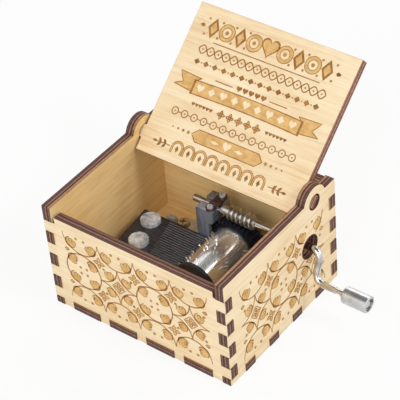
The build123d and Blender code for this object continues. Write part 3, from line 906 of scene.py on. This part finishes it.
def plaque(drawing, v, left, right):
    """A golden plaque with pointed ends and a pale heart, between rows of growing seeds."""
    half = 1.95  # of the plaque's height
    point = 1.9  # length of each end
    outline = [
        (left, v),
        (left + point, v + half),
        (right - point, v + half),
        (right, v),
        (right - point, v - half),
        (left + point, v - half),
    ]
    drawing.shape(outline)
    drawing.line(segments(outline, closed=True), THIN, closed=True)
    middle = (left + right) / 2
    drawing.shape(moved(heart(2.9), (middle, v)), RELIEF, RELIEF_TOP)
    for side in (-1, 1):
        drawing.shape(moved(lozenge(1.7, 0.55), (middle + side * 4.4, v)), RELIEF, RELIEF_TOP)
        for i in range(4):
            x = middle + side * ((right - left) / 2 + 1.3 + 1.9 * i)
            dot(drawing, (x, v), 0.52 - 0.08 * i)


def lid_ornament():
    """Ornament in rows on the lid's inner face, each placed by its distance from the free edge."""
    corner = LID_HINGE + LID_NORMAL * (PLY / 2) - LID_DIRECTION * LID_TAIL - Vector((LID_WIDTH / 2, 0, 0))
    drawing = Engraving("lid_engraving", "lid", corner, (1, 0, 0), LID_DIRECTION)

    def row(down):
        return LID_LENGTH - down

    bold_row(drawing, row(6.5), 4.3, 52.3, LID_MIDDLE)
    rule(drawing, row(10.65), 9.8, 48.0, THIN)
    guilloche(drawing, row(13.5), 6.0, 51.6, 1.35)
    lozenge_row(drawing, row(17.5), 5.6, 51.8, 1.9, 3.3)
    heart_row(drawing, row(20.9), 23.4, 34.4, 1.9, 5)
    rule(drawing, row(21.0), 15.9, 22.2, 0.3)
    rule(drawing, row(21.0), 35.5, 41.8, 0.3)
    ribbon_banner(drawing, row(25.1), 9.3, 48.6)
    heart_row(drawing, row(29.9), 11.5, 19.3, 1.2, 6)
    heart_row(drawing, row(29.9), 38.3, 46.0, 1.2, 6)
    knot_row(drawing, row(29.9), 22.4, 3.2, 5)
    ring_chain(drawing, row(33.7), 5.6, 51.6, 1.1)
    plaque(drawing, row(38.3), 16.0, 41.5)
    arched_row(drawing, row(43.9), 11.3, 45.3, 3.8)
    sprig(drawing, (7.9, row(44.1)), -1)
    sprig(drawing, (49.4, row(44.1)), 1)
    return drawing


# ---------------------------------------------------------------- comb screws

SCREW_PLACES = ((-20.9, 5.6), (-18.3, -3.6))  # mm, as the screws' other sizes are
SCREW_HEAD_RADIUS = 3.2
SCREW_SHANK_RADIUS = 1.5
SCREW_SIDES = 48
SCREW_TOP = [
    # (in from the head's side, down from its highest ring), from the side to the dished middle
    (0.00, 0.40),
    (0.12, 0.16),
    (0.38, 0.00),
    (0.75, 0.02),
    (0.95, 0.16),
    (1.76, 0.10),
]


def comb_screws(material):
    """The comb's two large screws, with rounded rims and slightly dished tops."""
    low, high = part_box("comb_screws")
    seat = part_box("comb")[1][2]
    head_radius = SCREW_HEAD_RADIUS * MM
    shank_radius = SCREW_SHANK_RADIUS * MM
    rows = [(shank_radius, low[2]), (shank_radius, seat), (head_radius, seat)]
    rows += [(head_radius - inset * MM, high[2] - drop * MM) for inset, drop in SCREW_TOP]
    mesh = bmesh.new()
    for x, y in SCREW_PLACES:
        rings = []
        for radius, z in rows:
            ring = []
            for i in range(SCREW_SIDES):
                angle = 2 * pi * i / SCREW_SIDES
                ring.append(mesh.verts.new((x * MM + radius * cos(angle), y * MM + radius * sin(angle), z)))
            rings.append(ring)
        for first, second in zip(rings, rings[1:]):
            for i in range(SCREW_SIDES):
                mesh.faces.new((first[i - 1], first[i], second[i], second[i - 1]))
        mesh.faces.new(rings[0][::-1])
        mesh.faces.new(rings[-1])
    bmesh.ops.recalc_face_normals(mesh, faces=mesh.faces)
    data = bpy.data.meshes.new("comb_screw_detail")
    mesh.to_mesh(data)
    mesh.free()
    data.materials.append(material)
    data.polygons.foreach_set("use_smooth", [True] * len(data.polygons))
    data.set_sharp_from_angle(angle=radians(28))
    piece = bpy.data.objects.new("comb_screw_detail", data)
    bpy.context.scene.collection.objects.link(piece)
    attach(piece, "box")
    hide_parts("comb_screws")


# ---------------------------------------------------------------- the object

HALF_WIDTH = 32.5  # of the case, mm
HALF_DEPTH = 27.0
# how the ornament of a long and of a short side is laid out
LONG_SIDE = {"spacing": 13.07, "count": 4, "radius": 6.45, "middle": 18.4, "rings": (0, 2)}
SHORT_SIDE = {"spacing": 13.7, "count": 3, "radius": 6.72, "middle": 18.0, "rings": (1,)}
SHAFT_CLEARING = (40.8, 22.0, 4.15)  # across, up and radius of the bare wood round the crank's hole


def finish_panels():
    """Plywood on every panel."""
    across, along = (1, 0, 0), (0, 1, 0)
    panels = {
        # name: outward, inner face and grain, then any tint (painted shade of the inner face), rim and edge
        "front_panel": ((0, -1, 0), HALF_DEPTH - PLY, across),
        "back_panel": ((0, 1, 0), HALF_DEPTH - PLY, across, INSIDE_SHADE, RIM_TAN),
        "left_panel": ((-1, 0, 0), HALF_WIDTH - PLY, along, INSIDE_SHADE, RIM_TAN),
        "right_panel": ((1, 0, 0), HALF_WIDTH - PLY, along, INSIDE_SHADE, RIM_TAN),
        "bottom_panel": ((0, 0, -1), -PLY, across),
        "lid_panel": (-LID_NORMAL, -LID_NORMAL.dot(LID_HINGE) - PLY / 2, across, PLAIN, PLAIN, LIGHT_EDGE),
    }
    for name, panel in panels.items():
        paint(plywood(name + "_wood", *panel), name)


def engrave():
    """The ornament of the four sides and the lid."""
    brown = engraved("engraved_brown", srgb(176, 128, 72), srgb(138, 92, 46))
    golden = engraved("engraved_golden", srgb(233, 192, 128), srgb(209, 161, 95))
    seed = engraved("engraved_seed", srgb(190, 148, 92), srgb(160, 116, 62))
    relief = engraved("engraved_relief", FACE_PALE, FACE_MIDDLE)
    tan = engraved("engraved_tan", srgb(188, 142, 88), srgb(152, 106, 58))

    up = (0, 0, 1)
    front = Engraving("front_engraving", "box", (-HALF_WIDTH, -HALF_DEPTH, 0), (1, 0, 0), up)
    medallions(front, 13.0, **LONG_SIDE)
    back = Engraving("back_engraving", "box", (HALF_WIDTH, HALF_DEPTH, 0), (-1, 0, 0), up)
    medallions(back, 13.0, **LONG_SIDE)
    right = Engraving("right_engraving", "box", (HALF_WIDTH, -HALF_DEPTH, 0), (0, 1, 0), up, SHAFT_CLEARING)
    medallions(right, 13.5, **SHORT_SIDE)
    left = Engraving("left_engraving", "box", (-HALF_WIDTH, HALF_DEPTH, 0), (0, -1, 0), up)
    medallions(left, 13.1, **SHORT_SIDE)
    for drawing in (front, back, right, left):
        drawing.finish((tan, golden, seed, relief))
    lid_ornament().finish((brown, golden, seed, relief))


def finish_frame():
    """The bedplate, the posts, the straps and their screws."""
    zinc = metal(
        "zinc", srgb(206, 210, 216), srgb(160, 164, 172), (0.30, 0.50), 300.0, bump=0.15, metallic=0.7
    )
    casting = metal(
        "post_casting",
        srgb(200, 212, 232),
        srgb(134, 146, 168),
        (0.14, 0.26),
        90.0,
        stretch=(2, 2, 0.6),
        bump=0.04,
        metallic=0.72,
    )
    brassy = metal(
        "brassy_screws",
        srgb(214, 198, 166),
        srgb(168, 148, 116),
        (0.20, 0.34),
        500.0,
        bump=0.04,
        metallic=0.45,
    )
    gunmetal = metal("gunmetal", srgb(110, 92, 90), srgb(66, 52, 52), (0.22, 0.38), 500.0, metallic=0.6)
    paint(zinc, "bedplate")
    paint(casting, "left_bearing_post", "right_bearing_post")
    paint(brassy, "mounting_screws")
    paint(gunmetal, "left_shaft_strap", "right_shaft_strap")
    soften(0.12, "bedplate", "left_bearing_post", "right_bearing_post")
    soften(0.06, "left_shaft_strap", "right_shaft_strap", "mounting_screws")


def finish_comb():
    """The comb, its weights and its screws, whose plating the strap screws share."""
    steel = metal(
        "comb_steel",
        srgb(78, 79, 88),
        srgb(52, 52, 60),
        (0.30, 0.44),
        300.0,
        stretch=(1, 6, 1),
        metallic=0.5,
        # painted glint where the comb's teeth catch the light, on the faces along Y
        cut=srgb(212, 216, 224),
    )
    lead = metal("lead", srgb(110, 110, 114), srgb(74, 74, 80), (0.45, 0.65), 500.0)
    plated = metal(
        "nickel_screws",
        srgb(240, 247, 255),
        srgb(150, 160, 174),
        (0.14, 0.30),
        460.0,
        bump=0.9,
        metallic=0.25,
    )
    paint(steel, "comb")
    paint(lead, "tooth_weights")
    paint(plated, "strap_screws")
    comb_screws(plated)


def finish_cylinder():
    """The cylinder with its pins, arbor, cap and gear."""
    nickel = metal(
        "bright_nickel",
        srgb(240, 239, 236),
        srgb(206, 203, 198),
        (0.10, 0.20),
        300.0,
        stretch=(1, 0.12, 1),
        bump=0.03,
        metallic=0.85,
    )
    black = moulded("black_plastic", srgb(22, 26, 36), srgb(50, 56, 70), 0.34)
    steel = metal("arbor_steel", srgb(214, 214, 214), srgb(168, 168, 170), (0.18, 0.34), 500.0)
    paint(nickel, "cylinder_shell", "cylinder_pins")
    paint(black, "cylinder_end_cap", "worm_gear")
    paint(steel, "cylinder_arbor")


def finish_drive():
    """The crank, its worm and collar, and the knob."""
    steel = metal("worm_steel", srgb(222, 220, 216), srgb(172, 169, 165), (0.30, 0.46), 600.0)
    wire = metal("nickel_wire", srgb(214, 211, 206), srgb(170, 166, 160), (0.10, 0.20), 240.0, bump=0.04)
    paint(steel, "worm")
    paint(wire, "crank_wire", "thrust_collar")
    paint(turned("knob_aluminium"), "knob")


bpy.context.scene.view_settings.view_transform = "Standard"
add_camera()
add_world()
add_lamps()
add_floor()
finish_panels()
engrave()
finish_frame()
finish_comb()
finish_cylinder()
finish_drive()
